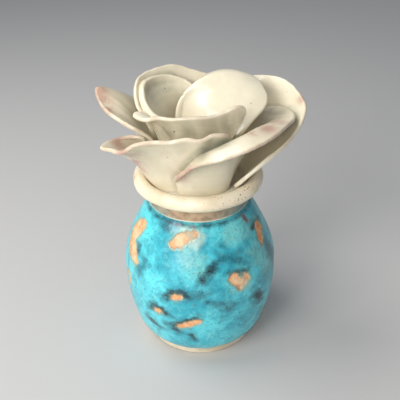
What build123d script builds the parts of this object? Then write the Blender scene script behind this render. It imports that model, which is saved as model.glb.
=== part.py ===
from build123d import *
from math import cos, radians, sin
import os

import numpy as np

# Ceramic bud vase with a lift-out porcelain rose.
# Millimetres. Origin: centre of the foot, +Z up. The open side of the rose faces -Y.

# ---- driving dimensions: vase ------------------------------------------------------------
FOOT_R = 27.7            # radius of the foot where it meets the table
FOOT_WIDTH = 6.5         # width of the foot ring's resting face
FOOT_RECESS = 2.5        # depth turned out from under the base
FOOT_BEVEL = 1.5         # slope of the recess's side
EDGE = 0.8               # softened corner at the table
BARE_FOOT_H = 6.0        # height of the unglazed band
BARE_FOOT_R = 29.6       # radius of the clay at the top of that band
BELLY_R = 36.5           # largest radius of the clay, under the glaze
BELLY_Z = 40.0
SHOULDER_R = 25.0        # clay radius just under the neck
SHOULDER_Z = 72.0
GLAZE_T = 0.5            # thickness of the glaze coat
WALL_T = 4.0             # clay wall of the body
FLOOR_Z = 8.0            # top of the vase's floor
FLOOR_R = 20.0           # flat part of the floor

NECK_BASE_Z = 75.2       # where the neck ring is joined to the shoulder
NECK_BASE_R = 22.9
NECK_R = 22.6            # neck wall under the lip
LIP_R = 29.6             # outside of the rolled lip
LIP_Z = 86.0             # height of the lip's widest point
LIP_TOP_Z = 89.9
LIP_TOP_R = 25.6         # crown of the lip
UNDER_LIP_Z = 81.6       # where the lip starts to flare from the wall
MOUTH_R = 24.7           # inner edge of the lip, where the flared mouth starts
MOUTH_Z = 89.3
THROAT_R = 17.4          # bore of the neck
THROAT_TOP_Z = 79.0      # the bore opens into the flared mouth here
THROAT_FOOT_Z = 71.0     # underside of the neck ring's bore

# ---- driving dimensions: flower ------------------------------------------------------------
PLUG_R = 17.0            # stub that sits in the bore, 0.4 mm clear all round
PLUG_FOOT_Z = 63.0
PLUG_BEVEL = 1.5
SEAT_GAP = 0.4           # clearance between flower and mouth
SEAT_Z = 88.9            # top of the flower's flared seat
STEM_FOOT_R = 19.4       # core that the petals are pressed onto, at the seat
STEM_R = 15.0
STEM_Z = 98.0
STEM_TIP_R = 11.0
STEM_TIP_Z = 107.0
PETAL_T = 1.5            # rolled-out thickness of a petal

ACROSS = 13              # surface points across a petal
UP = 7                   # surface points from foot to rim
SKIN_TOLERANCE = 0.05

# Each petal is a sheet between its foot, on the core, and its free rim.
# Both are given as stations around the flower, in order from one side edge to the other:
#   foot: azimuth, radius, height, lean, hold     rim: azimuth, radius, height, lean
# Azimuth is in degrees from +X. Lean is the sheet's tilt away from vertical, in degrees: 90 is
# flat and more than 90 hangs down. Hold is how far the sheet keeps its foot's direction, as a
# share of the distance to the rim, and curl is the same for the rim.
PETALS = {
    "right_petal": {
        "centre": (0, 0),
        "curl": 0.35,
        "foot": [(-46, 21.6, 88, 30, 0.45), (-5, 21, 88, 35, 0.45), (45, 21, 88, 30, 0.45),
                 (88, 21, 88, 25, 0.4)],
        "rim": [(-49, 24.3, 90.5, 35), (-33, 33, 101.5, 45), (-18, 41, 109, 45), (0, 47.3, 118, 42),
                (20, 44.6, 124.3, 40), (36, 40, 125, 35), (56, 33, 122.5, 25), (84, 28, 117, 15)],
    },
    "front_right_petal": {
        "centre": (0, 0),
        "curl": 0.42,
        "foot": [(-112, 22.5, 88, 14, 0.9), (-86, 22.5, 88, 14, 0.95), (-61, 22.3, 88, 16, 0.9),
                 (-42, 18.4, 91, 25, 0.6), (-8, 15, 98, 50, 0.45), (24, 14, 101, 50, 0.4)],
        "rim": [(-112.5, 27, 98.5, 30), (-91, 32, 107, 105), (-73, 37.5, 112, 112),
                (-54, 40, 115.6, 105), (-30, 40.5, 117.3, 95), (-10, 42, 116.5, 85),
                (4, 41, 116, 80), (12, 36.5, 115.8, 75), (24, 32, 112.5, 70)],
    },
    "front_left_petal": {
        "centre": (0, 0),
        "curl": 0.35,
        "foot": [(180, 21.5, 88, 35, 0.4), (208, 22.4, 88, 32, 0.4), (230, 22, 88, 18, 0.4),
                 (250, 20, 88, 10, 0.4), (275, 20, 88, 10, 0.4), (302, 20, 88, 10, 0.4)],
        "rim": [(208, 25, 111.9, 10), (201, 30.5, 111.3, 65), (200.2, 37.6, 111.3, 72),
                (202.5, 41.8, 111.1, 72), (206.7, 44.5, 110.9, 72), (213.8, 43.2, 111.8, 72),
                (222.6, 41.4, 112.6, 72), (229.4, 38.2, 115.9, 65), (239, 33.8, 117.2, 50),
                (250, 31.2, 117.4, 40), (261, 29.6, 118.4, 33), (272, 29.9, 117.8, 38),
                (282, 28.2, 119, 26), (291, 28.6, 118.8, 28), (300, 27.4, 117.2, 18)],
    },
    "left_petal": {
        "centre": (0, 0),
        "curl": 0.35,
        "foot": [(148, 19.3, 92, 20, 0.4), (178, 19.1, 90, 15, 0.5), (206, 18.2, 94, 8, 0.5)],
        "rim": [(148, 31.5, 116.5, 50), (161, 38, 122.6, 60), (169, 44.2, 126.4, 60),
                (172, 44.5, 124, 65), (178, 40.8, 119.4, 65), (188, 34.8, 116.6, 65),
                (200, 28.4, 114.2, 60), (207, 21.6, 110.5, 20)],
    },
    "front_inner_petal": {
        "centre": (0, 0),
        "curl": 0.35,
        "foot": [(205, 15.5, 98, 8, 0.4), (250, 16.5, 96, 5, 0.4), (285, 17.6, 97, 8, 0.4),
                 (304, 21, 104, 10, 0.4)],
        "rim": [(193, 28.6, 119.2, 112), (208, 26.2, 118.6, 105), (222, 21.9, 121.3, 42),
                (260, 18.9, 122.8, 20), (290, 20.6, 123.8, 15), (310, 24.2, 127, 15),
                (321, 25.6, 125.6, 10)],
    },
    "back_left_petal": {
        "centre": (0, 0),
        "curl": 0.35,
        "foot": [(188, 16, 99, 15, 0.4), (150, 16.5, 94, 10, 0.4), (112, 18.5, 89, 10, 0.4),
                 (60, 18.2, 89, 10, 0.4)],
        "rim": [(188, 23, 118.3, 20), (180, 25.8, 121.8, 25), (164, 28, 127, 30),
                (150, 28.4, 129.7, 30), (124, 26.8, 131, 25), (107, 26.4, 130, 25),
                (82, 26.3, 126, 20), (62, 28, 123.5, 20)],
    },
    "inner_left_petal": {
        "centre": (0, 0),
        "curl": 0.35,
        "foot": [(195, 13.2, 102, 10, 0.4), (140, 13.2, 100, 5, 0.4), (100, 14, 100, 5, 0.4),
                 (75, 13, 102, 5, 0.4)],
        "rim": [(205, 17.4, 117.2, 40), (190, 21.6, 119.6, 45), (172, 24.8, 124.3, 38),
                (157, 26, 127.8, 28), (132, 23.6, 128.3, 18), (110, 20.4, 126.5, 10),
                (98, 18.1, 124, 5), (80, 15.5, 119, 0)],
    },
    "bud_petal": {
        "centre": (-8, 4),
        "curl": 0.45,
        "foot": [(-65, 7, 104, -10, 0.45), (0, 1, 104, -18, 0.68), (60, 5, 104, -10, 0.66)],
        "rim": [(-38, 31.5, 112, 75), (-26, 34, 116, 105), (-8.5, 38.5, 121.5, 112),
                (4, 36.5, 126, 118), (16, 32, 128.6, 118), (45, 25, 126.5, 115)],
    },
}


# ---- petal surface ---------------------------------------------------------------------------
def along(stations, share):
    """Smooth (Catmull-Rom) value of a list of stations, share = 0 at its start and 1 at its end."""
    rows = np.array(stations, float)
    padded = np.vstack([2 * rows[0] - rows[1], rows, 2 * rows[-1] - rows[-2]])
    span = min(int(share * (len(rows) - 1)), len(rows) - 2)
    t = share * (len(rows) - 1) - span
    before, start, end, after = padded[span:span + 4]
    slope = end - before
    bend = 2 * before - 5 * start + 4 * end - after
    twist = 3 * start - before - 3 * end + after
    return 0.5 * (2 * start + slope * t + bend * t**2 + twist * t**3)


def tilted(azimuth, lean):
    """Unit vector that leans outwards from vertical towards an azimuth."""
    around, over = radians(azimuth), radians(lean)
    return Vector(cos(around) * sin(over), sin(around) * sin(over), cos(over))


def petal_curve(petal, share):
    """The four Bezier points of the petal's section at one share of the way across it."""
    centre = Vector(*petal["centre"], 0)
    azimuth, radius, height, lean, hold = along(petal["foot"], share)
    foot = centre + tilted(azimuth, 90) * radius + Vector(0, 0, height)
    foot_direction = tilted(azimuth, lean)
    azimuth, radius, height, lean = along(petal["rim"], share)
    rim = centre + tilted(azimuth, 90) * radius + Vector(0, 0, height)
    chord = (rim - foot).length
    lower = foot + foot_direction * chord * hold
    upper = rim - tilted(azimuth, lean) * chord * petal["curl"]
    return foot, lower, upper, rim


def petal_point(petal, share, rise):
    """Point of the petal's middle surface: share across it, rise from foot 0 to rim 1."""
    foot, lower, upper, rim = petal_curve(petal, share)
    fall = 1 - rise
    return foot * fall**3 + lower * 3 * fall**2 * rise + upper * 3 * fall * rise**2 + rim * rise**3


def petal_skin(petal, offset):
    """One face of the petal, at an offset from its middle surface."""
    step = 0.001
    rows = []
    for i in range(ACROSS):
        share = min(max(i / (ACROSS - 1), step), 1 - step)
        row = []
        for j in range(UP):
            rise = min(max(j / (UP - 1), step), 1 - step)
            sideways = petal_point(petal, share + step, rise) - petal_point(petal, share - step, rise)
            upwards = petal_point(petal, share, rise + step) - petal_point(petal, share, rise - step)
            row.append(petal_point(petal, share, rise) + sideways.cross(upwards).normalized() * offset)
        rows.append(row)
    return Face.make_surface_from_array_of_points(rows, tol=SKIN_TOLERANCE)


def petal_solid(petal):
    """Closed solid between the petal's two skins, with ruled edges all round."""
    inside, outside = petal_skin(petal, PETAL_T / 2), petal_skin(petal, -PETAL_T / 2)
    skins = [inside, outside]
    for edge in inside.edges():
        facing = min(outside.edges(), key=lambda other: (other @ 0.5 - edge @ 0.5).length)
        skins.append(Face.make_surface_from_curves(edge, facing))
    return Solid(Shell(skins))


# ---- vase --------------------------------------------------------------------------------------
# Points of the clay's outside, from the top of the bare foot to the base of the neck.
WALL = [(BARE_FOOT_R, BARE_FOOT_H), (32.9, 12.0), (35.5, 25.0), (BELLY_R, BELLY_Z), (33.6, 55.0),
        (29.0, 65.0), (SHOULDER_R, SHOULDER_Z), (NECK_BASE_R - GLAZE_T, NECK_BASE_Z)]
# Points of its inside, from the underside of the throat to the flat of the floor.
CAVITY = [(THROAT_R, THROAT_FOOT_Z), (25.0, 65.0), (29.8, 55.0), (BELLY_R - WALL_T, BELLY_Z),
          (31.4, 25.0), (28.6, 15.0), (25.0, 10.0), (FLOOR_R, FLOOR_Z)]

with BuildPart() as vase_body:
    with BuildSketch(Plane.XZ) as body_section:
        with BuildLine() as body_outline:
            foot_in = FOOT_R - FOOT_WIDTH
            Spline([Vector(x, y) for x, y in WALL])
            Polyline((NECK_BASE_R - GLAZE_T, NECK_BASE_Z), (THROAT_R, NECK_BASE_Z), (THROAT_R, THROAT_FOOT_Z))
            Spline([Vector(x, y) for x, y in CAVITY])
            Polyline((FLOOR_R, FLOOR_Z), (0, FLOOR_Z), (0, FOOT_RECESS), (foot_in - FOOT_BEVEL, FOOT_RECESS),
                     (foot_in, 0), (FOOT_R - EDGE, 0), (FOOT_R, EDGE), (BARE_FOOT_R, BARE_FOOT_H))
        make_face()
    revolve(axis=Axis.Z)
vase_body.part.label = "vase_body"

with BuildPart() as glaze_coat:
    with BuildSketch(Plane.XZ) as glaze_section:
        with BuildLine() as glaze_outline:
            inner = Spline([Vector(x, y) for x, y in WALL])
            outer = Spline([Vector(x + GLAZE_T, y) for x, y in WALL])
            Line(inner @ 0, outer @ 0)
            Line(inner @ 1, outer @ 1)
        make_face()
    revolve(axis=Axis.Z)
glaze_coat.part.label = "glaze_coat"

# Points of the rolled lip, from the neck wall over its outside to the mouth.
LIP = [(NECK_R, UNDER_LIP_Z), (26.6, 82.8), (LIP_R, LIP_Z), (27.8, LIP_TOP_Z - 0.5), (LIP_TOP_R, LIP_TOP_Z),
       (MOUTH_R, MOUTH_Z)]

with BuildPart() as neck_ring:
    with BuildSketch(Plane.XZ) as neck_section:
        with BuildLine() as neck_outline:
            Polyline((THROAT_R, NECK_BASE_Z), (NECK_BASE_R, NECK_BASE_Z), (NECK_R, UNDER_LIP_Z))
            Spline([Vector(x, y) for x, y in LIP], tangents=[(1, 0.1), (-0.6, -1)])
            Polyline((MOUTH_R, MOUTH_Z), (THROAT_R, THROAT_TOP_Z), (THROAT_R, NECK_BASE_Z))
        make_face()
    revolve(axis=Axis.Z)
neck_ring.part.label = "neck_ring"

# ---- flower -------------------------------------------------------------------------------------
# The seat runs parallel to the flared mouth, SEAT_GAP inside it.
mouth_slope = (MOUTH_R - THROAT_R) / (MOUTH_Z - THROAT_TOP_Z)
seat_r = THROAT_R + (SEAT_Z - THROAT_TOP_Z) * mouth_slope - SEAT_GAP

with BuildPart() as stopper_plug:
    with BuildSketch(Plane.XZ) as plug_section:
        with BuildLine() as plug_outline:
            Polyline((0, PLUG_FOOT_Z), (PLUG_R - PLUG_BEVEL, PLUG_FOOT_Z), (PLUG_R, PLUG_FOOT_Z + PLUG_BEVEL),
                     (PLUG_R, THROAT_TOP_Z), (0, THROAT_TOP_Z), (0, PLUG_FOOT_Z))
        make_face()
    revolve(axis=Axis.Z)
stopper_plug.part.label = "stopper_plug"

with BuildPart() as flower_core:
    with BuildSketch(Plane.XZ) as core_section:
        with BuildLine() as core_outline:
            Polyline((0, THROAT_TOP_Z), (PLUG_R, THROAT_TOP_Z), (seat_r, SEAT_Z), (STEM_FOOT_R, SEAT_Z),
                     (STEM_R, STEM_Z), (STEM_TIP_R, STEM_TIP_Z), (0, STEM_TIP_Z + 1), (0, THROAT_TOP_Z))
        make_face()
    revolve(axis=Axis.Z)
flower_core.part.label = "flower_core"

# Every petal's foot is pressed into the soft core, so the two overlap there.
petals = []
for name, petal in PETALS.items():
    with BuildPart() as petal_part:
        add(petal_solid(petal))
    petal_part.part.label = name
    petals.append(petal_part.part)

os.makedirs("parts", exist_ok=True)
for piece in (vase_body.part, glaze_coat.part, neck_ring.part, stopper_plug.part, flower_core.part, *petals):
    export_step(piece, f"parts/{piece.label}.step")
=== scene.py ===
import math

import bpy
import numpy as np
from mathutils import Matrix, Vector
from mathutils.kdtree import KDTree


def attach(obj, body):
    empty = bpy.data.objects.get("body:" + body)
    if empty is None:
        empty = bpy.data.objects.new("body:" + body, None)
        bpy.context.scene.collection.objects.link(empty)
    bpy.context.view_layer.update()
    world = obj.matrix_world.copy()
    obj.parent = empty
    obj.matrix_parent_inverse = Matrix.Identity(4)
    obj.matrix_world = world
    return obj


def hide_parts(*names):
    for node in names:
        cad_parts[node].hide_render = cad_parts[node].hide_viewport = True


# Looks of the ceramic bud vase with its porcelain rose. Shapes are worked out in millimetres.
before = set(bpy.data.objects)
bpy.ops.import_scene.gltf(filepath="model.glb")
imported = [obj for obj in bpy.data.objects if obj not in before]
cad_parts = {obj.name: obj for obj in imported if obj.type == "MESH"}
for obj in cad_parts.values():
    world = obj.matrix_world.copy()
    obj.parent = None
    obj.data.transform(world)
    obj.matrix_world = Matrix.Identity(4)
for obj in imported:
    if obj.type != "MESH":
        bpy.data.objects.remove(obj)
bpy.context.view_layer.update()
MM = 0.001

# ---- rose: the same stations as the CAD petals --------------------------------------------------
# foot: azimuth, radius, height, lean, hold     rim: azimuth, radius, height, lean
PETALS = {
    "right_petal": {
        "centre": (0, 0), "curl": 0.35, "warmth": 0.25,
        "foot": [(-46, 21.6, 88, 30, 0.45), (-5, 21, 88, 35, 0.45), (45, 21, 88, 30, 0.45),
                 (88, 21, 88, 25, 0.4)],
        "rim": [(-49, 24.3, 90.5, 35), (-33, 33, 101.5, 45), (-18, 41, 109, 45), (0, 47.3, 118, 42),
                (20, 44.6, 124.3, 40), (36, 40, 125, 35), (56, 33, 122.5, 25), (84, 28, 117, 15)],
    },
    "front_right_petal": {
        "centre": (0, 0), "curl": 0.42, "warmth": 0.9,
        "foot": [(-112, 22.5, 88, 14, 0.9), (-86, 22.5, 88, 14, 0.95), (-61, 22.3, 88, 16, 0.9),
                 (-42, 18.4, 91, 25, 0.6), (-8, 15, 98, 50, 0.45), (24, 14, 101, 50, 0.4)],
        "rim": [(-112.5, 27, 98.5, 30), (-91, 32, 107, 105), (-73, 37.5, 112, 112),
                (-54, 40, 115.6, 105), (-30, 40.5, 117.3, 95), (-10, 42, 116.5, 85),
                (4, 41, 116, 80), (12, 36.5, 115.8, 75), (24, 32, 112.5, 70)],
    },
    "front_left_petal": {
        "centre": (0, 0), "curl": 0.35, "warmth": 0.8,
        "foot": [(180, 21.5, 88, 35, 0.4), (208, 22.4, 88, 32, 0.4), (230, 22, 88, 18, 0.4),
                 (250, 20, 88, 10, 0.4), (275, 20, 88, 10, 0.4), (302, 20, 88, 10, 0.4)],
        "rim": [(208, 25, 111.9, 10), (201, 30.5, 111.3, 65), (200.2, 37.6, 111.3, 72),
                (202.5, 41.8, 111.1, 72), (206.7, 44.5, 110.9, 72), (213.8, 43.2, 111.8, 72),
                (222.6, 41.4, 112.6, 72), (229.4, 38.2, 115.9, 65), (239, 33.8, 117.2, 50),
                (250, 31.2, 117.4, 40), (261, 29.6, 118.4, 33), (272, 29.9, 117.8, 38),
                (282, 28.2, 119, 26), (291, 28.6, 118.8, 28), (300, 27.4, 117.2, 18)],
    },
    "left_petal": {
        "centre": (0, 0), "curl": 0.35, "warmth": 0.9,
        "foot": [(148, 19.3, 92, 20, 0.4), (178, 19.1, 90, 15, 0.5), (206, 18.2, 94, 8, 0.5)],
        "rim": [(148, 31.5, 116.5, 50), (161, 38, 122.6, 60), (169, 44.2, 126.4, 60),
                (172, 44.5, 124, 65), (178, 40.8, 119.4, 65), (188, 34.8, 116.6, 65),
                (200, 28.4, 114.2, 60), (207, 21.6, 110.5, 20)],
    },
    "front_inner_petal": {
        "centre": (0, 0), "curl": 0.35, "warmth": 0.5,
        "foot": [(205, 15.5, 98, 8, 0.4), (250, 16.5, 96, 5, 0.4), (285, 17.6, 97, 8, 0.4),
                 (304, 21, 104, 10, 0.4)],
        "rim": [(193, 28.6, 119.2, 112), (208, 26.2, 118.6, 105), (222, 21.9, 121.3, 42),
                (260, 18.9, 122.8, 20), (290, 20.6, 123.8, 15), (310, 24.2, 127, 15),
                (321, 25.6, 125.6, 10)],
    },
    "back_left_petal": {
        "centre": (0, 0), "curl": 0.35, "warmth": 0.25,
        "foot": [(188, 16, 99, 15, 0.4), (150, 16.5, 94, 10, 0.4), (112, 18.5, 89, 10, 0.4),
                 (60, 18.2, 89, 10, 0.4)],
        "rim": [(188, 23, 118.3, 20), (180, 25.8, 121.8, 25), (164, 28, 127, 30),
                (150, 28.4, 129.7, 30), (124, 26.8, 131, 25), (107, 26.4, 130, 25),
                (82, 26.3, 126, 20), (62, 28, 123.5, 20)],
    },
    "inner_left_petal": {
        "centre": (0, 0), "curl": 0.35, "warmth": 0.1, "swell": 1.25,
        "foot": [(195, 13.2, 102, 10, 0.4), (140, 13.2, 100, 5, 0.4), (100, 14, 100, 5, 0.4),
                 (75, 13, 102, 5, 0.4)],
        "rim": [(205, 17.4, 117.2, 40), (190, 21.6, 119.6, 45), (172, 24.8, 124.3, 38),
                (157, 26, 127.8, 28), (132, 23.6, 128.3, 18), (110, 20.4, 126.5, 10),
                (98, 18.1, 124, 5), (80, 15.5, 119, 0)],
    },
    "bud_petal": {
        "centre": (-8, 4), "curl": 0.45, "warmth": 0.1, "rolled_side": 8.0, "roll_way": 1.0,
        "foot": [(-65, 7, 104, -10, 0.45), (0, 1, 104, -18, 0.68), (60, 5, 104, -10, 0.66)],
        "rim": [(-38, 31.5, 112, 75), (-26, 34, 116, 105), (-8.5, 38.5, 121.5, 112),
                (4, 36.5, 126, 118), (16, 32, 128.6, 118), (45, 25, 126.5, 115)],
    },
}
PETAL_T = 1.6            # thickness of a petal
RIM_ROUND = 0.95         # distance over which its edge rounds off
CORNER_R = 3.0           # rounding of its upper corners
ACROSS = 200             # mesh columns across a petal
UP = 52                  # mesh rows from foot to rim, before the fine ones at the rim

# Iron and copper marks in the petals' glaze: x, y, z, radius.
BLUSH = [(-42, 6.5, 125, 4.5), (-40.5, 4.5, 122, 4), (-38.5, 0.5, 119, 3.2), (-30, -27.5, 112.5, 4),
         (-28, -25, 108.5, 5), (-26.2, -18.5, 103.2, 4.5), (-25, -16.5, 99.5, 3.5), (-33, -14, 110.5, 4),
         (33, -14, 117.5, 4.5), (28, -21, 118, 4.5), (22, -25, 118, 2.5),
         (46, 5.5, 119.5, 2.4), (-8, -26, 99, 4), (-3.4, -30.3, 104.9, 3)]
# Where the glaze pooled grey-green in the hollows between the petals, also painted shade on petal faces lying
# in shadow under the bud and the petals above.
POOLS_AND_SHADE = [(-12, -14, 115, 6.5), (-4, -17, 115, 7.5), (5, -18, 117, 8), (12, -17, 119, 7), (17, -15, 121, 5),
         (29, -3, 112.6, 6), (32.4, -4.3, 115, 6), (35.5, 1, 115.5, 5),
         (10, -28, 113, 5.5), (3, -29, 110, 4), (-24, 8, 114, 6),
         (-26, -14, 113, 5), (-6, 16, 114, 8)]
SPECKS = [(-9.4, -15.8, 115.4, 0.55), (27.3, -29.0, 116.6, 0.6), (42.1, -9.3, 111.5, 0.5),
          (-14.2, 14.9, 122.7, 0.45), (20.5, -34.2, 116.2, 0.35), (2.5, -28.4, 112.0, 0.3)]

# ---- vase: outside of the clay, radius and height -----------------------------------------------
CLAY = [(27.7, 0.9), (28.4, 3), (29.5, 6), (31.3, 8.5), (32.9, 12), (34.7, 20), (35.6, 25), (36.3, 32),
        (36.5, 40), (36.1, 46), (35.1, 50.5), (33.6, 55), (31.5, 60), (29, 65), (26.6, 69.5),
        (25, 72), (23.7, 74), (22.4, 75.2)]
GLAZE_FOOT_Z = 6.0       # where the glaze stops above the bare foot
GLAZE_T = 0.5
NECK_BASE_Z = 75.2

# Marks in the glaze, as chains of (azimuth, height, radius). Azimuth is in degrees from +X.
BARE = [
    [(204, 66.8, 2.8), (199, 64.5, 4.0), (195, 60.5, 4.4), (198, 56.5, 3.9), (207, 53.5, 3.0),
     (212, 51.8, 1.8)],
    [(246.5, 66.2, 1.8), (252, 68.2, 2.9), (259, 70.2, 2.3), (266, 71.2, 1.3)],
    [(337, 64.4, 2.8), (333, 61.2, 2.4), (331, 59.2, 1.2)],
    [(295, 51.0, 2.5), (299.5, 47.2, 2.0), (300, 45.6, 1.1)],
    [(304.5, 49.3, 2.3), (300, 47.0, 2.2)],
    [(251.5, 43.0, 1.5), (254.5, 43.8, 1.4)],
    [(236, 31.5, 1.4), (239, 31.8, 1.1)],
    [(254.5, 25.4, 1.6), (260, 27.4, 1.6), (267.5, 29.6, 1.5)],
    [(202, 41, 1.8), (204, 36, 1.2)],
    [(330, 16.8, 1.4), (336, 18.6, 2.6), (341, 20.6, 2.6)],
    [(32, 58, 3.4), (38, 52, 3.0), (36, 46, 2.2)],
    [(84, 33, 2.8), (90, 31.5, 2.4)],
    [(128, 64, 2.6), (136, 60.5, 3.0)],
    [(112, 22, 1.6), (118, 23.5, 1.4)],
    [(158, 40, 2.4), (155, 35.5, 1.8)],
]
CHARCOAL = [
    [(245.5, 42.4, 1.6), (248.5, 45.2, 1.5), (254, 46.4, 1.3), (259, 45.8, 1.5), (261, 44.6, 1.2)],
    [(231, 32.4, 1.4), (234, 34.4, 1.5), (240, 34.0, 1.5), (243, 32.2, 1.2)],
    [(249.5, 24.8, 1.5), (254, 27.6, 1.2), (261, 30.2, 1.2), (268, 31.8, 0.8)],
    [(280, 58.0, 1.5), (277, 56.5, 1.7)],
    [(272, 54.2, 1.4), (270.5, 53, 1.2)],
    [(317, 35.5, 2.2), (319, 33.5, 1.8)],
    [(228, 22.5, 1.6), (231, 21.4, 1.4)],
    [(249, 22.6, 1.3), (251, 22, 1.2)],
    [(263, 19.4, 1.3), (264.5, 16.8, 0.9)],
    [(213, 58, 0.9), (213, 57.2, 0.8)],
    [(293, 53.6, 0.8), (299, 52.4, 1.0), (306, 52.3, 0.8)],
    [(328, 66.7, 1.1), (341, 67.2, 1.2)],
    [(309, 9.5, 1.6), (328, 10.5, 2.6), (345, 14.5, 3.4), (356, 18, 2.0)],
    [(24, 62, 1.6), (30, 63.5, 1.4)],
    [(66, 43, 1.6), (70, 41.5, 1.8)],
    [(80, 36.8, 1.3), (92, 35.4, 1.3)],
    [(108, 54.5, 1.6), (114, 52.5, 1.8)],
    [(144, 28.5, 1.6), (149, 26, 2.0)],
    [(168, 54, 1.5), (171, 50, 1.8)],
]
SMOKE = [
    [(285, 60, 2.6), (280, 57.6, 3.8), (273, 53.5, 3.8), (269, 50.5, 2.6)],
    [(271, 46, 3.6), (265, 44.4, 3.2)],
    [(243, 41, 2.6), (250, 46, 2.4), (260, 45, 2.8)],
    [(229, 31.5, 2.4), (236, 34.5, 2.4), (246, 31.0, 2.2)],
    [(247, 24.5, 2.6), (255, 29, 2.0), (268, 33, 1.8)],
    [(314, 38, 4.2), (320, 31.5, 4.2)],
    [(226, 23.5, 3.4), (236, 20, 2.8)],
    [(243, 25, 2.6), (253, 21, 2.6)],
    [(262, 20, 2.4), (265, 15.6, 1.8)],
    [(303, 61.4, 1.4), (304, 60.6, 1.4)],
    [(290, 65.8, 1.4), (291, 65.2, 1.4)],
    [(223, 55, 2.6), (218, 47, 3.0)],
    [(289, 61.5, 2.4), (297, 59, 2.6), (306, 56, 2.8)],
    [(276, 41, 2.6), (291, 36.5, 3.2)],
    [(292, 54.5, 1.8), (307, 53.0, 1.8)],
    [(208, 60, 1.6), (214, 58, 2.0)],
    [(338, 55, 4.0), (344, 47, 4.5)],
    [(232, 71.5, 2.6), (240, 73, 2.4)],
    [(330, 66.8, 2.2), (342, 66.0, 2.4)],
    [(22, 61, 3.4), (32, 64.5, 2.8)],
    [(60, 45, 3.6), (74, 40.5, 4.2)],
    [(78, 37, 2.6), (94, 34.5, 2.6)],
    [(103, 56, 3.2), (118, 51.5, 3.6)],
    [(139, 30.5, 3.2), (152, 25, 3.8)],
    [(165, 56, 3.2), (173, 48.5, 3.4)],
    [(18, 30, 3.4), (10, 25, 3.8)],
]
PALE = [
    [(250, 68.5, 5.0), (262, 71, 4.0)],
    [(299, 49.5, 5.5), (303, 47, 4.5)],
    [(318, 70, 4.0), (300, 69, 4.5), (335, 66, 4.0)],
    [(262, 62, 5.5), (268, 58, 5.5)],
    [(198, 61, 6.5), (208, 52, 4.5)],
    [(322, 57, 6.0), (330, 50, 6.0)],
    [(34, 55, 6.0), (40, 47, 5.0)],
    [(130, 62, 6.0), (138, 58, 5.0)],
    [(88, 31, 5.5), (95, 30, 4.0)],
]
HAZE = [[(259, 70.5, 2.6), (266, 69.5, 3.4)], [(302, 49.5, 1.8), (304, 46.5, 1.8)]]
IRON_RED = [[(323, 72.3, 1.5), (324, 71, 1.2)], [(262, 73.6, 0.4), (264, 73.5, 0.4)]]


# ---- small maths --------------------------------------------------------------------------------
def along(stations, share):
    """Smooth (Catmull-Rom) values of a list of stations at an array of shares from 0 to 1."""
    rows = np.array(stations, float)
    padded = np.vstack([2 * rows[0] - rows[1], rows, 2 * rows[-1] - rows[-2]])
    place = np.clip(share, 0, 1) * (len(rows) - 1)
    span = np.minimum(place.astype(int), len(rows) - 2)
    t = (place - span)[:, None]
    a, b, c, d = padded[span], padded[span + 1], padded[span + 2], padded[span + 3]
    return 0.5 * (2 * b + (c - a) * t + (2 * a - 5 * b + 4 * c - d) * t**2
                  + (3 * b - a - 3 * c + d) * t**3)


def step(value, low, high):
    """Smooth step from 0 at low to 1 at high."""
    t = np.clip((value - low) / (high - low), 0, 1)
    return t * t * (3 - 2 * t)


def unit(vectors):
    return vectors / np.maximum(np.linalg.norm(vectors, axis=-1, keepdims=True), 1e-9)


def waves(points, size, seed, count=14):
    """Smooth irregularity between about -1 and 1 over points in space, with bumps of about one size."""
    random = np.random.default_rng(seed)
    total = np.zeros(points.shape[:-1])
    for _ in range(count):
        direction = unit(random.normal(size=3)) * random.uniform(0.7, 1.5)
        total += np.sin(points @ direction * 2 * math.pi / (2 * size) + random.uniform(0, 2 * math.pi))
    return total / math.sqrt(count)


def polar(azimuth, radius, height):
    a = np.radians(azimuth)
    return np.stack([np.cos(a) * radius, np.sin(a) * radius, height + 0 * a], -1)


# ---- meshes -------------------------------------------------------------------------------------
def mesh_object(name, points, faces, values):
    """Smooth mesh from points in mm, with one value per point for each named attribute."""
    mesh = bpy.data.meshes.new(name)
    mesh.from_pydata((points * MM).tolist(), [], faces)
    for key, value in values.items():
        attribute = mesh.attributes.new(key, "FLOAT", "POINT")
        attribute.data.foreach_set("value", np.asarray(value, np.float32).ravel())
    mesh.shade_smooth()
    piece = bpy.data.objects.new(name, mesh)
    bpy.context.collection.objects.link(piece)
    return piece


def turned(name, grid, values=None, closed=False):
    """Body of revolution from a (profile rows, columns round) grid. Open ends are closed by a point."""
    rows, columns = grid.shape[:2]
    index = np.arange(rows * columns).reshape(rows, columns)
    across = np.roll(index, -1, axis=1)
    stack = np.vstack([index, index[:1]]) if closed else index
    shifted = np.vstack([across, across[:1]]) if closed else across
    quads = np.stack([stack[:-1], shifted[:-1], shifted[1:], stack[1:]], -1).reshape(-1, 4).tolist()
    points = grid.reshape(-1, 3)
    values = {key: np.asarray(value).ravel() for key, value in (values or {}).items()}
    if not closed:
        ends = np.array([grid[0].mean(0), grid[-1].mean(0)])
        points = np.vstack([points, ends])
        values = {key: np.concatenate([value, [value[0], value[-1]]]) for key, value in values.items()}
        first, last = rows * columns, rows * columns + 1
        quads += [[first, b, a] for a, b in zip(index[0].tolist(), across[0].tolist())]
        quads += [[last, a, b] for a, b in zip(index[-1].tolist(), across[-1].tolist())]
    return mesh_object(name, points, quads, values)


def resampled(profile, spacing):
    """Profile of (radius, height) corners made into points about one spacing apart."""
    corners = np.array(profile, float)
    lengths = np.concatenate([[0], np.cumsum(np.linalg.norm(np.diff(corners, axis=0), axis=1))])
    places = np.linspace(0, lengths[-1], int(lengths[-1] / spacing) + 2)
    return np.stack([np.interp(places, lengths, corners[:, side]) for side in (0, 1)], -1)


def rounded(points, count):
    """Smooth curve through a few (radius, height) points."""
    return along(points, np.linspace(0, 1, count))


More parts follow.
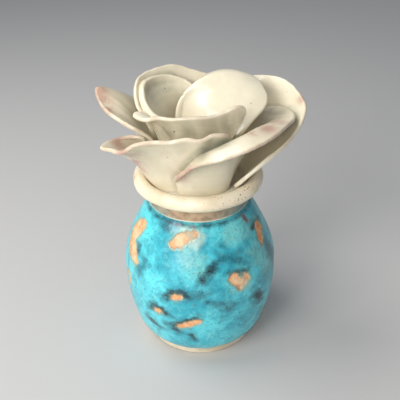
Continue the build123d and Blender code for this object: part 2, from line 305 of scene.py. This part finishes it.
# ---- petals -------------------------------------------------------------------------------------
def petal_surface(petal, share, rise):
    """Points of the petal's middle surface. Share is (n,) across it and rise is (n, m) up it."""
    foot_row, rim_row = along(petal["foot"], share), along(petal["rim"], share)
    centre = np.array([*petal["centre"], 0.0])

    def direction(azimuth, lean):
        a, b = np.radians(azimuth), np.radians(lean)
        return np.stack([np.cos(a) * np.sin(b), np.sin(a) * np.sin(b), np.cos(b)], -1)

    foot = centre + polar(foot_row[:, 0], foot_row[:, 1], foot_row[:, 2])
    rim = centre + polar(rim_row[:, 0], rim_row[:, 1], rim_row[:, 2])
    chord = np.linalg.norm(rim - foot, axis=1, keepdims=True)
    lower = foot + direction(foot_row[:, 0], foot_row[:, 3]) * chord * foot_row[:, 4:5]
    upper = rim - direction(rim_row[:, 0], rim_row[:, 3]) * chord * petal["curl"]
    t = rise[:, :, None]
    return (foot[:, None] * (1 - t)**3 + lower[:, None] * 3 * (1 - t)**2 * t
            + upper[:, None] * 3 * (1 - t) * t**2 + rim[:, None] * t**3)


def petal_mesh(name, petal, seed):
    """Hand-rolled petal: uneven sheet, rounded rim, softly rounded corners."""
    fine = np.array([0.03, 0.12, 0.26, 0.45, 0.68, 0.95, 1.35])
    share = np.linspace(0, 1, ACROSS)
    draft = petal_surface(petal, share, np.tile(np.linspace(0, 1, 9), (ACROSS, 1)))
    length = np.linalg.norm(np.diff(draft, axis=1), axis=2).sum(1).mean()
    width = np.linalg.norm(np.diff(draft[:, -1], axis=0), axis=1).sum()
    share = np.concatenate([[0], fine / width, np.linspace(1.9 / width, 1 - 1.9 / width, ACROSS),
                            1 - fine[::-1] / width, [1]])
    rise = np.concatenate([np.linspace(0, 1 - 1.9 / length, UP), 1 - fine[::-1] / length, [1]])

    # the outline: rounded corners and a slightly ragged rim
    from_side = np.minimum(share, 1 - share) * width
    corner = 1 - np.sqrt(1 - (1 - np.minimum(from_side / CORNER_R, 1))**2)
    rim = petal_surface(petal, share, np.ones((len(share), 1)))[:, 0]
    ragged = 0.16 * waves(rim, 7.0, seed) + 0.05 * waves(rim, 2.2, seed + 1)
    top = 1 - (CORNER_R * corner + np.maximum(ragged + 0.1, 0)) / length
    grid_rise = rise[None, :] * top[:, None]
    middle = petal_surface(petal, share, grid_rise)

    eps = 2e-3
    wide = (petal_surface(petal, np.minimum(share + eps, 1), grid_rise)
            - petal_surface(petal, np.maximum(share - eps, 0), grid_rise))
    tall = (petal_surface(petal, share, np.minimum(grid_rise + eps, 1))
            - petal_surface(petal, share, np.maximum(grid_rise - eps, 0)))
    normal = unit(np.cross(wide, tall))

    run_up = np.linalg.norm(np.diff(middle, axis=1), axis=2)
    to_rim = np.concatenate([np.cumsum(run_up[:, ::-1], axis=1)[:, ::-1], np.zeros((len(share), 1))], 1)
    run_side = np.concatenate([np.zeros((1, len(rise))),
                               np.cumsum(np.linalg.norm(np.diff(middle, axis=0), axis=2), axis=0)])
    to_edge = np.minimum(to_rim, np.minimum(run_side, run_side[-1] - run_side))

    free = step(grid_rise, 0.1, 0.55)
    middle = middle + normal * (free * (0.13 * waves(middle, 12, seed + 2)
                                        + 0.03 * waves(middle, 4, seed + 3)))[..., None]
    if "rolled_side" in petal:
        from_last = (run_side[-1] - run_side) / petal["rolled_side"]
        turned_in = 1 - np.sqrt(1 - (1 - np.minimum(from_last, 1))**2)
        middle = middle + normal * (turned_in * petal["rolled_side"] * petal["roll_way"])[..., None]
    rim_only = 1 - step(1.0 * share, 0.8, 0.9)[:, None] if "rolled_side" in petal else 1.0
    bead = 1 + 0.16 * rim_only * np.exp(-(to_edge / 1.8)**2) * (1 + 0.5 * waves(middle, 5, seed + 4))
    swell = petal.get("swell", 0) * (1 - step(share, 0.4, 0.62))[:, None] * np.exp(-(to_edge / 2.6)**2)
    rounding = np.sqrt(1 - (1 - np.minimum(to_edge / (RIM_ROUND + swell), 1))**2)
    half = (PETAL_T / 2 * bead + swell) * rounding
    front = middle + normal * half[..., None]
    back = middle - normal * half[..., None]

    rows, columns = to_edge.shape
    index = np.arange(rows * columns).reshape(rows, columns)
    quads = np.stack([index[:-1, :-1], index[1:, :-1], index[1:, 1:], index[:-1, 1:]], -1).reshape(-1, 4)
    # the two skins share their rim and side edges
    twin = index + rows * columns
    twin[0], twin[-1], twin[:, -1] = index[0], index[-1], index[:, -1]
    others = np.stack([twin[:-1, :-1], twin[:-1, 1:], twin[1:, 1:], twin[1:, :-1]], -1).reshape(-1, 4)
    sole = np.stack([index[:-1, 0], twin[:-1, 0], twin[1:, 0], index[1:, 0]], -1)
    used = np.unique(np.concatenate([quads.ravel(), others.ravel()]))
    renumber = np.zeros(2 * rows * columns, int)
    renumber[used] = np.arange(len(used))
    faces = [list(dict.fromkeys(face)) for face in renumber[np.vstack([quads, others, sole])].tolist()]
    points = np.vstack([front.reshape(-1, 3), back.reshape(-1, 3)])[used]
    edge = np.concatenate([to_edge.ravel(), to_edge.ravel()])[used]
    return points, [face for face in faces if len(face) > 2], edge


def nearness(points, marks):
    """How strongly each point lies inside any of the round marks (x, y, z, radius)."""
    total = np.zeros(len(points))
    for x, y, z, radius in marks:
        distance = np.linalg.norm(points - (x, y, z), axis=1)
        total = np.maximum(total, np.exp(-(distance / radius)**2))
    return total


shapes = {name: petal_mesh(name, petal, 20 * k) for k, (name, petal) in enumerate(PETALS.items(), 1)}
petal_objects = {}
for name, (points, faces, edge) in shapes.items():
    neighbours = np.vstack([other[0][::5] for key, other in shapes.items() if key != name])
    tree = KDTree(len(neighbours))
    for number, place in enumerate(neighbours):
        tree.insert(place, number)
    tree.balance()
    gap = np.array([tree.find(point)[2] for point in points])
    values = {
        "edge": edge,
        # closeness to the other petals: pooled glaze together with painted crevice shade
        "crevice_pool_and_shade": 1 - step(gap, 0.6, 5.0),
        "blush": nearness(points, BLUSH),
        "pool_and_shade": nearness(points, POOLS_AND_SHADE),
        "speck": nearness(points, SPECKS),
        "warm": np.full(len(points), PETALS[name]["warmth"]),
        "low": 1 - step(points[:, 2], 90, 112),
    }
    petal_objects[name] = mesh_object(name + "_look", points, faces, values)

# ---- vase meshes --------------------------------------------------------------------------------
AROUND = 560
azimuths = np.arange(AROUND) * 360 / AROUND


def surface_of(profile, every=1):
    """Grid of points turned round from a profile, using every so many of the azimuths."""
    return polar(azimuths[None, ::every], profile[:, 0:1], profile[:, 1:2])


def near_azimuth(azimuth, centre, spread):
    """1 at an azimuth, falling off over a spread in degrees."""
    return np.exp(-(((azimuth - centre + 180) % 360 - 180) / spread)**2)


def chain_depth(grid, chains):
    """Depth in mm inside the nearest chain of circles on the body's surface, negative outside."""
    clay = np.array(CLAY)
    best = np.full(grid.shape[:2], -99.0)
    for chain in chains:
        for (az1, z1, r1), (az2, z2, r2) in zip(chain[:-1], chain[1:]):
            start = polar(az1, np.interp(z1, clay[:, 1], clay[:, 0]), z1)
            end = polar(az2, np.interp(z2, clay[:, 1], clay[:, 0]), z2)
            line = end - start
            t = np.clip(((grid - start) @ line) / max(line @ line, 1e-6), 0, 1)
            distance = np.linalg.norm(grid - start - t[..., None] * line, axis=-1)
            best = np.maximum(best, (r1 + (r2 - r1) * t) - distance)
    return best


# glaze coat: thick, with rolled edges where it crawled back from the clay
clay_curve = rounded(CLAY[2:], 200)
radius = clay_curve[:, 0]
lowest = GLAZE_FOOT_Z + 0.5 * np.sin(np.radians(azimuths * 2 + 40)) + 0.35 * np.sin(np.radians(azimuths * 5))
lowest += 1.6 * near_azimuth(azimuths, 192, 16)
share_up = np.linspace(0, 1, 140)
heights = lowest[None, :] + (NECK_BASE_Z - 0.05 - lowest[None, :]) * share_up[:, None]
clay_r = np.interp(heights, clay_curve[:, 1], radius)
glaze_base = polar(azimuths[None, :], clay_r, heights)
bare = chain_depth(glaze_base, BARE) + 0.35 * waves(glaze_base, 1.6, 5) + 0.2 * waves(glaze_base, 0.9, 6)
dark = chain_depth(glaze_base, CHARCOAL) + 0.3 * waves(glaze_base, 1.6, 7)
smoke = chain_depth(glaze_base, SMOKE) + 0.9 * waves(glaze_base, 2.4, 12)
haze = chain_depth(glaze_base, HAZE) + 0.5 * waves(glaze_base, 2.2, 13)
pale = chain_depth(glaze_base, PALE) + 0.9 * waves(glaze_base, 3, 8)
red = chain_depth(glaze_base, IRON_RED) + 0.2 * waves(glaze_base, 0.8, 9)
thickness = GLAZE_T + 0.07 * waves(glaze_base, 4, 10) + 0.03 * waves(glaze_base, 1.5, 11)
thickness *= 1 - 0.85 * step(bare, -0.35, 0.55)
thickness += 0.16 * np.exp(-((bare + 0.9) / 0.6)**2)
from_foot = (heights - lowest[None, :])
thickness *= np.sqrt(1 - (1 - np.minimum(from_foot / 0.9, 1))**2) * 0.96 + 0.04
thickness += 0.22 * np.exp(-((from_foot - 1.2) / 1.0)**2)
groove = np.exp(-((heights - 74.0) / 0.9)**2)
thickness -= 0.18 * groove
thickness = np.maximum(thickness, 0.03)
kink = near_azimuth(azimuths, 196, 14)[None, :] * np.exp(-((heights - 19) / 3.0)**2)
outer = polar(azimuths[None, :], clay_r + thickness + 0.15 * kink, heights)
under_rows = np.linspace(1, 0, 24)
under_z = lowest[None, :] + (NECK_BASE_Z - 0.05 - lowest[None, :]) * under_rows[:, None]
under = polar(azimuths[None, :], np.interp(under_z, clay_curve[:, 1], radius) - 0.25, under_z)
pad = np.zeros(under_z.shape)
OUT_OF_REACH = pad - 9    # far outside every mark, for the underside
glaze_values = {name: np.vstack([depth, OUT_OF_REACH]) for name, depth in (
    ("bare", bare), ("dark", dark), ("smoke", smoke), ("pale", pale), ("haze", haze), ("red", red))}
glaze_values["groove"] = np.vstack([groove, pad])
glaze_values["skirt"] = np.vstack([np.exp(-from_foot / 1.5), pad])
glaze = turned("glaze_coat_look", np.vstack([outer, under]), glaze_values, closed=True)

# stoneware body: bare foot, clay under the glaze, throat and hollow
foot_profile = [(0.2, 2.5), (19.5, 2.5), (20.6, 1.2), (21.3, 0.25), (22.0, 0), (26.8, 0), (27.4, 0.2),
                (27.7, 0.9)]
inside_profile = [(17.6, 75.1), (17.4, 74.8), (17.4, 71), (20.8, 68.6), (25.6, 65), (28.6, 58.5), (30.6, 52),
                  (32.2, 45), (32.5, 38), (32.3, 28), (31, 20), (26.5, 12), (20, 8), (10, 7.8), (0.2, 7.8)]
foot_rows, clay_rows = resampled(foot_profile, 0.6), rounded(CLAY, 150)[1:]
body_profile = np.vstack([foot_rows, clay_rows, [(22.2, 75.2)], resampled(inside_profile, 0.9)])
inner_side = np.arange(len(body_profile)) > len(foot_rows) + len(clay_rows)
# throwing rings inside, and a slightly uneven bare foot
rings = np.sin(body_profile[:, 1] * 2 * math.pi / 2.6)
ringed = inner_side & (body_profile[:, 0] >= 1)
body_r = body_profile[:, 0] + np.where(ringed, 0.12 * rings, 0)
body_grid = surface_of(np.stack([body_r, body_profile[:, 1]], -1), 2)
FLAT = np.array([1, 1, 0])
near_foot = (1 - step(body_grid[..., 2], 4.5, 7))[..., None] * FLAT
uneven = 0.10 * waves(body_grid, 5, 31) * (body_grid[..., 2] > 0.5)
body_grid = body_grid + unit(body_grid * FLAT) * near_foot * (~inner_side)[:, None, None] * uneven[..., None]
body_values = {"inner": np.repeat(inner_side[:, None], AROUND // 2, 1) * 1.0}
body = turned("vase_body_look", body_grid, body_values)

# neck ring: ridge, short wall and rolled lip
neck_profile = np.vstack([
    resampled([(17.4, 75.2), (22.6, 75.2), (23.2, 75.3)], 0.7),
    rounded([(23.25, 75.35), (23.4, 75.55), (23.35, 75.8), (22.95, 76.15), (22.72, 77.2), (22.62, 79.5),
             (22.7, 81.2), (23.6, 82.3), (26.2, 82.9), (28.3, 83.7), (29.5, 85.1), (29.75, 86.7),
             (29.2, 88.4), (28.0, 89.6), (26.8, 90.0), (25.6, 89.85), (24.75, 89.3)], 110),
    resampled([(24.5, 89.05), (17.4, 79.0), (17.4, 75.25)], 0.8)])
neck_grid = surface_of(neck_profile, 2)
outside = step(neck_profile[:, 0], 24.9, 26.5)[:, None]
wall = (neck_profile[:, 0] > 22.5)[:, None] * 1.0
wobble = outside * 0.16 * waves(neck_grid, 12, 41) + wall * (0.05 * waves(neck_grid, 3.5, 42))
lift = outside * 0.18 * waves(neck_grid * np.array([1, 1, 0.2]), 16, 43)
neck_grid = neck_grid + unit(neck_grid * FLAT) * wobble[..., None]
neck_grid[..., 2] += lift
neck_az, neck_z = azimuths[None, ::2], neck_grid[..., 2]
tinge = np.maximum(step(82 - neck_z, 0, 6) * near_azimuth(neck_az, 322, 26),
                   0.8 * step(80.5 - neck_z, 0, 4.5) * near_azimuth(neck_az, 218, 16))
neck_values = {
    "neck_wall": (1 - step(neck_z, 81.8, 83.2)) * step(neck_z, 75.7, 76.1) * (neck_profile[:, 0:1] > 22.4),
    "tinge": tinge * wall,
    "ridge": np.exp(-((neck_z - 75.6) / 0.3)**2) * wall,
    "speckle": near_azimuth(neck_az, 312, 26) * outside,
    "spot": near_azimuth(neck_az, 190, 3.6) * outside * np.exp(-((neck_z - 88) / 1.3)**2),
}
neck = turned("neck_ring_look", neck_grid, neck_values, closed=True)

# plug and core of the rose
plug_profile = np.vstack([resampled([(0.2, 63.0), (15.2, 63.0)], 0.8),
                          rounded([(15.6, 63.05), (16.5, 63.5), (16.95, 64.4), (17.0, 66)], 10),
                          resampled([(17.0, 66.6), (17.0, 79.0), (0.2, 79.0)], 0.8)])
plug_grid = surface_of(plug_profile, 4)
plug_grid[..., :2] *= 1 - 0.004 * (1 + waves(plug_grid, 6, 51))[..., None] * (plug_grid[..., 2:] < 78.5)
plug = turned("stopper_plug_look", plug_grid)
core_profile = np.vstack([resampled([(0.2, 79.0), (17.0, 79.0), (24.0, 88.9), (19.6, 88.95)], 0.7),
                          rounded([(19.0, 89.3), (17.0, 93), (15.0, 98), (13.6, 102), (11.6, 106), (8, 107.6),
                                   (4, 108), (0.2, 108)], 40)])
core_grid = surface_of(core_profile, 4)
core_grid = core_grid + unit(core_grid * FLAT) * (
    0.12 * (waves(core_grid, 5, 52) - 1) * step(core_grid[..., 2], 89, 92))[..., None]
core = turned("flower_core_look", core_grid)


# ---- materials ----------------------------------------------------------------------------------
class Look:
    """A procedural material: a principled shader and the nodes that feed it."""

    def __init__(self, name):
        self.material = bpy.data.materials.new(name)
        self.material.use_nodes = True
        self.nodes = self.material.node_tree.nodes
        self.links = self.material.node_tree.links
        self.shader = self.nodes["Principled BSDF"]
        self.place = self.nodes.new("ShaderNodeTexCoord").outputs["Object"]

    def put(self, socket, value):
        if isinstance(value, bpy.types.NodeSocket):
            self.links.new(value, socket)
        else:
            socket.default_value = value

    def noise(self, size, detail=3.0, roughness=0.55, distortion=0.0):
        """Noise with features of about one size, in mm."""
        node = self.nodes.new("ShaderNodeTexNoise")
        self.put(node.inputs["Vector"], self.place)
        self.put(node.inputs["Scale"], 1000.0 / size)
        self.put(node.inputs["Detail"], detail)
        self.put(node.inputs["Roughness"], roughness)
        self.put(node.inputs["Distortion"], distortion)
        return node.outputs["Fac"]

    def cells(self, size):
        node = self.nodes.new("ShaderNodeTexVoronoi")
        self.put(node.inputs["Vector"], self.place)
        self.put(node.inputs["Scale"], 1000.0 / size)
        return node.outputs["Distance"]

    def attribute(self, name):
        node = self.nodes.new("ShaderNodeAttribute")
        node.attribute_name = name
        return node.outputs["Fac"]

    def math(self, operation, a, b):
        node = self.nodes.new("ShaderNodeMath")
        node.operation = operation
        self.put(node.inputs[0], a)
        self.put(node.inputs[1], b)
        return node.outputs[0]

    def times(self, a, b):
        return self.math("MULTIPLY", a, b)

    def plus(self, a, b):
        return self.math("ADD", a, b)

    def offset(self, noise):
        """Noise moved to lie around zero."""
        return self.math("SUBTRACT", noise, 0.5)

    def ramp(self, value, low, high, to_low=0.0, to_high=1.0):
        """Value carried smoothly from low..high to to_low..to_high."""
        node = self.nodes.new("ShaderNodeMapRange")
        node.interpolation_type = "SMOOTHSTEP"
        self.put(node.inputs["Value"], value)
        for socket, number in zip(("From Min", "From Max", "To Min", "To Max"), (low, high, to_low, to_high)):
            self.put(node.inputs[socket], number)
        return node.outputs["Result"]

    def mix(self, share, a, b):
        node = self.nodes.new("ShaderNodeMix")
        node.data_type = "RGBA"
        self.put(node.inputs["Factor"], share)
        self.put(node.inputs["A"], (*a, 1.0) if isinstance(a, tuple) else a)
        self.put(node.inputs["B"], (*b, 1.0) if isinstance(b, tuple) else b)
        return node.outputs["Result"]

    def bump(self, height, distance, strength=1.0):
        node = self.nodes.new("ShaderNodeBump")
        self.put(node.inputs["Height"], height)
        self.put(node.inputs["Distance"], distance * MM)
        self.put(node.inputs["Strength"], strength)
        self.put(self.shader.inputs["Normal"], node.outputs["Normal"])

    def finish(self, colour, roughness, coat=0.0, coat_roughness=0.03):
        self.put(self.shader.inputs["Base Color"], (*colour, 1.0) if isinstance(colour, tuple) else colour)
        self.put(self.shader.inputs["Roughness"], roughness)
        self.put(self.shader.inputs["Coat Weight"], coat)
        self.put(self.shader.inputs["Coat Roughness"], coat_roughness)
        return self.material


def srgb(red, green, blue):
    """Linear colour of an sRGB one given in 0 to 255."""
    def linear(value):
        value /= 255
        return value / 12.92 if value <= 0.04045 else ((value + 0.055) / 1.055) ** 2.4
    return linear(red), linear(green), linear(blue)


def petal_glaze():
    look = Look("petal_glaze")
    cloud = look.noise(14, 3)
    fine = look.noise(1.1, 3, 0.6)
    colour = look.mix(look.ramp(cloud, 0.35, 0.68), srgb(234, 225, 200), srgb(221, 211, 184))
    # pooled grey-green glaze, partly painted shade on petal faces lying in shadow
    pool_and_shade = look.times(look.attribute("pool_and_shade"), look.ramp(look.noise(8, 3), 0.28, 0.62, 0.6, 0.95))
    colour = look.mix(look.times(pool_and_shade, 0.95), colour, srgb(142, 135, 112))
    colour = look.mix(look.times(look.attribute("low"), 0.15), colour, srgb(206, 192, 162))
    # glaze pools grey-green where petals meet, with painted shade darkening the crevices between them
    crevice_pool_and_shade = look.times(look.ramp(look.attribute("crevice_pool_and_shade"), 0.15, 0.95),
                        look.ramp(look.noise(6, 3), 0.3, 0.7, 0.35, 0.85))
    crevice_pool_and_shade = look.times(crevice_pool_and_shade, look.ramp(look.attribute("edge"), 1.2, 3.6))
    colour = look.mix(look.times(crevice_pool_and_shade, 0.7), colour, srgb(138, 142, 120))
    # thin glaze on the rims shows the warm clay
    rim = look.times(look.ramp(look.attribute("edge"), 1.3, 0.2),
                    look.times(look.attribute("warm"), look.ramp(look.noise(7, 3), 0.35, 0.7, 0.1, 0.62)))
    colour = look.mix(rim, colour, srgb(196, 158, 132))
    blush = look.times(look.attribute("blush"), look.ramp(look.noise(4.5, 4, 0.65), 0.28, 0.56, 0.15, 1.0))
    colour = look.mix(look.times(blush, 0.62), colour, srgb(164, 92, 78))
    dust = look.times(look.ramp(look.cells(6.5), 0.07, 0.045), 0.55)
    colour = look.mix(dust, colour, srgb(150, 120, 92))
    colour = look.mix(look.ramp(look.attribute("speck"), 0.45, 0.62), colour, srgb(52, 38, 30))
    height = look.plus(look.times(look.noise(5, 2), 0.5), look.times(fine, 0.06))
    look.bump(height, 0.35, 0.5)
    return look.finish(colour, look.ramp(fine, 0.3, 0.7, 0.3, 0.4), 0.35, 0.08)


def turquoise_glaze():
    look = Look("turquoise_glaze")
    cloud, patch = look.noise(17, 4, 0.6), look.noise(8, 4, 0.62)
    mottle, grain = look.noise(2.6, 4, 0.65), look.noise(0.6, 2, 0.6)
    colour = look.mix(look.ramp(cloud, 0.36, 0.64), srgb(50, 172, 190), srgb(100, 222, 232))
    colour = look.mix(look.times(look.ramp(patch, 0.48, 0.7), 0.5), colour, srgb(22, 120, 140))
    colour = look.mix(look.times(look.ramp(mottle, 0.5, 0.75), 0.4), colour, srgb(152, 230, 230))
    pale = look.times(look.ramp(look.attribute("pale"), -2.5, 3.0), look.ramp(mottle, 0.3, 0.7, 0.35, 0.95))
    colour = look.mix(look.times(pale, 0.55), colour, srgb(150, 204, 184))
    freckle = look.times(look.ramp(look.noise(1.5, 3, 0.6), 0.52, 0.68), 0.42)
    colour = look.mix(freckle, colour, srgb(30, 128, 148))
    speckle = look.times(look.ramp(grain, 0.56, 0.7), 0.35)
    colour = look.mix(speckle, colour, srgb(30, 74, 88))
    ragged = look.times(look.offset(mottle), 5.0)
    smoky = look.ramp(look.plus(look.attribute("smoke"), ragged), -2.2, 3.6)
    smoky = look.times(smoky, look.ramp(grain, 0.3, 0.66, 0.9, 0.45))
    colour = look.mix(smoky, colour, srgb(16, 58, 76))
    black = look.ramp(look.plus(look.attribute("dark"), ragged), -1.5, 1.3)
    black = look.times(black, look.ramp(grain, 0.3, 0.66, 0.98, 0.6))
    colour = look.mix(black, colour, srgb(14, 20, 26))
    groove = look.times(look.attribute("groove"), look.ramp(patch, 0.36, 0.6, 0.35, 0.9))
    colour = look.mix(groove, colour, srgb(14, 34, 56))
    # thin rims of the crawled glaze turn olive, then rust, before the bare clay
    edge = look.plus(look.attribute("bare"), look.times(look.offset(grain), 1.7))
    haze_tint = look.times(look.ramp(look.attribute("haze"), -2.5, 1.5), 0.6)
    colour = look.mix(haze_tint, colour, srgb(198, 214, 196))
    halo = look.times(look.ramp(edge, -2.0, 0.1), 0.6)
    colour = look.mix(halo, colour, srgb(136, 152, 126))
    rust = look.times(look.ramp(edge, -0.6, 0.2), look.ramp(patch, 0.35, 0.65, 0.1, 0.6))
    colour = look.mix(rust, colour, srgb(138, 98, 66))
    clay = look.mix(look.ramp(mottle, 0.35, 0.66), srgb(240, 184, 134), srgb(216, 150, 100))
    clay = look.mix(look.times(look.ramp(look.cells(1.3), 0.2, 0.06), 0.65), clay, srgb(156, 98, 64))
    pale_clay = look.times(look.ramp(look.attribute("pale"), 1.0, 3.5), look.ramp(patch, 0.4, 0.6, 0.2, 0.8))
    clay = look.mix(pale_clay, clay, srgb(240, 214, 176))
    hazy = look.times(look.ramp(look.attribute("haze"), -1.5, 2.5), look.ramp(mottle, 0.34, 0.66, 0.25, 1.0))
    bare = look.times(look.ramp(edge, -0.6, 0.65), look.math("SUBTRACT", 1.0, look.times(hazy, 0.7)))
    colour = look.mix(bare, colour, clay)
    red = look.ramp(look.plus(look.attribute("red"), look.times(look.offset(grain), 1.2)), -0.7, 0.7)
    colour = look.mix(look.times(red, 0.85), colour, srgb(128, 62, 62))
    skirt = look.times(look.ramp(look.attribute("skirt"), 0.45, 0.85), 0.55)
    colour = look.mix(skirt, colour, srgb(22, 66, 78))
    waviness = look.times(look.noise(3.4, 2), 0.5)
    height = look.plus(waviness, look.times(grain, look.ramp(bare, 0, 1, 0.03, 0.5)))
    look.bump(height, 0.4, 0.45)
    roughness = look.plus(look.ramp(bare, 0, 1, 0.3, 0.78), look.times(mottle, 0.1))
    return look.finish(colour, roughness, look.ramp(bare, 0, 1, 0.25, 0.0), 0.08)


def cream_slip():
    look = Look("cream_slip")
    cloud, mottle, grain = look.noise(9, 3), look.noise(1.8, 4, 0.6), look.noise(0.5, 2, 0.6)
    colour = look.mix(look.ramp(cloud, 0.34, 0.66), srgb(246, 234, 206), srgb(236, 219, 188))
    wall = look.attribute("neck_wall")
    tan = look.ramp(look.noise(4, 4, 0.6), 0.36, 0.66)
    wall_colour = look.mix(tan, srgb(188, 162, 130), srgb(150, 126, 100))
    rosy = look.ramp(look.noise(3.1, 3, 0.5, 0.4), 0.6, 0.72, 0, 0.55)
    wall_colour = look.mix(rosy, wall_colour, srgb(190, 116, 100))
    colour = look.mix(wall, colour, wall_colour)
    tinge = look.times(look.attribute("tinge"), look.ramp(mottle, 0.3, 0.65, 0.35, 0.95))
    colour = look.mix(tinge, colour, srgb(104, 158, 160))
    colour = look.mix(look.times(look.attribute("ridge"), 0.6), colour, srgb(170, 196, 192))
    dots = look.ramp(look.cells(1.9), 0.19, 0.1)
    dots = look.times(dots, look.plus(look.times(look.attribute("speckle"), 0.9), 0.2))
    colour = look.mix(dots, colour, srgb(134, 84, 52))
    spot = look.times(look.attribute("spot"), look.ramp(mottle, 0.3, 0.6, 0.4, 0.9))
    colour = look.mix(spot, colour, srgb(206, 146, 100))
    height = look.plus(look.times(mottle, 0.5), look.times(grain, 0.2))
    look.bump(height, 0.3, 0.35)
    return look.finish(colour, look.ramp(wall, 0, 1, 0.42, 0.62), look.ramp(wall, 0, 1, 0.18, 0.0), 0.2)


def stoneware():
    look = Look("stoneware")
    mottle, grain = look.noise(2.2, 4, 0.6), look.noise(0.45, 2, 0.6)
    colour = look.mix(look.ramp(look.noise(11, 3), 0.35, 0.66), srgb(236, 222, 196), srgb(216, 196, 164))
    colour = look.mix(look.ramp(look.cells(2.0), 0.14, 0.07, 0, 0.55), colour, srgb(140, 100, 70))
    colour = look.mix(look.times(look.attribute("inner"), 0.5), colour, srgb(188, 160, 128))
    look.bump(look.plus(look.times(mottle, 0.5), look.times(grain, 0.5)), 0.3, 0.5)
    return look.finish(colour, look.ramp(mottle, 0.3, 0.7, 0.66, 0.8))


def bare_porcelain():
    look = Look("bare_porcelain")
    mottle = look.noise(3, 4, 0.6)
    colour = look.mix(look.ramp(look.noise(9, 3), 0.35, 0.66), srgb(226, 218, 200), srgb(208, 198, 178))
    look.bump(mottle, 0.25, 0.4)
    return look.finish(colour, look.ramp(mottle, 0.3, 0.7, 0.5, 0.66))


def dress(piece, material, node, body_name):
    piece.data.materials.append(material)
    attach(piece, body_name)
    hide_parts(node)


petal_finish = petal_glaze()
porcelain = bare_porcelain()
dress(body, stoneware(), "vase_body", "vase")
dress(glaze, turquoise_glaze(), "glaze_coat", "vase")
dress(neck, cream_slip(), "neck_ring", "vase")
dress(plug, porcelain, "stopper_plug", "flower")
dress(core, porcelain, "flower_core", "flower")
for name, piece in petal_objects.items():
    dress(piece, petal_finish, name, "flower")

# ---- floor, light and camera --------------------------------------------------------------------
floor_mesh = bpy.data.meshes.new("floor")
FLOOR_HALF, FLOOR_Z = 3, -0.0002
floor_corners = [(-1, -1), (1, -1), (1, 1), (-1, 1)]
floor_points = [(x * FLOOR_HALF, y * FLOOR_HALF, FLOOR_Z) for x, y in floor_corners]
floor_mesh.from_pydata(floor_points, [], [(0, 1, 2, 3)])
floor = bpy.data.objects.new("floor", floor_mesh)
bpy.context.collection.objects.link(floor)
floor_look = bpy.data.materials.new("floor_pale")
floor_look.use_nodes = True
floor_look.node_tree.nodes["Principled BSDF"].inputs["Base Color"].default_value = (0.56, 0.555, 0.545, 1)
floor_look.node_tree.nodes["Principled BSDF"].inputs["Roughness"].default_value = 0.85
floor_mesh.materials.append(floor_look)


def soft_box(name, place, target, size, power, colour=(1, 1, 1)):
    data = bpy.data.lights.new(name, "AREA")
    data.shape = "RECTANGLE"
    data.size, data.size_y = size
    data.energy = power
    data.color = colour
    light = bpy.data.objects.new(name, data)
    light.location = place
    light.rotation_euler = (Vector(target) - Vector(place)).to_track_quat("-Z", "Y").to_euler()
    bpy.context.collection.objects.link(light)


ROSE = (0, 0, 0.105)
soft_box("key", (-0.36, -0.40, 0.42), ROSE, (0.34, 0.22), 2.4, (1.0, 0.985, 0.95))
soft_box("overhead", (-0.30, 0.06, 0.70), ROSE, (0.36, 0.30), 2.1, (1.0, 0.99, 0.97))
soft_box("front_fill", (-0.35, -0.75, 0.35), (0, 0, 0.05), (0.5, 0.4), 2.9)

world = bpy.data.worlds.new("studio")
world.use_nodes = True
world.node_tree.nodes["Background"].inputs["Color"].default_value = (0.9, 0.93, 1.0, 1)
world.node_tree.nodes["Background"].inputs["Strength"].default_value = 0.33
bpy.context.scene.world = world
bpy.context.scene.view_settings.view_transform = "Standard"

# about 31 degrees above the table, a forearm's length away, with a slight roll
ELEVATION, DISTANCE, ROLL = math.radians(31.43), 0.26495, math.radians(-1.13)
forward = Vector((0, math.cos(ELEVATION), -math.sin(ELEVATION)))
right = Vector((1, 0, 0))
upward = Vector((0, math.sin(ELEVATION), math.cos(ELEVATION)))
camera_x = right * math.cos(ROLL) + upward * math.sin(ROLL)
camera_y = upward * math.cos(ROLL) - right * math.sin(ROLL)
camera_data = bpy.data.cameras.new("camera")
camera_data.sensor_width = 36.0
camera_data.lens = 50.4
camera = bpy.data.objects.new("camera", camera_data)
turn = Matrix((camera_x, camera_y, -forward)).transposed()
place = Vector((0.00054, 0, 0.07266)) - forward * DISTANCE
camera.matrix_world = Matrix.Translation(place) @ turn.to_4x4()
bpy.context.collection.objects.link(camera)
bpy.context.scene.camera = camera
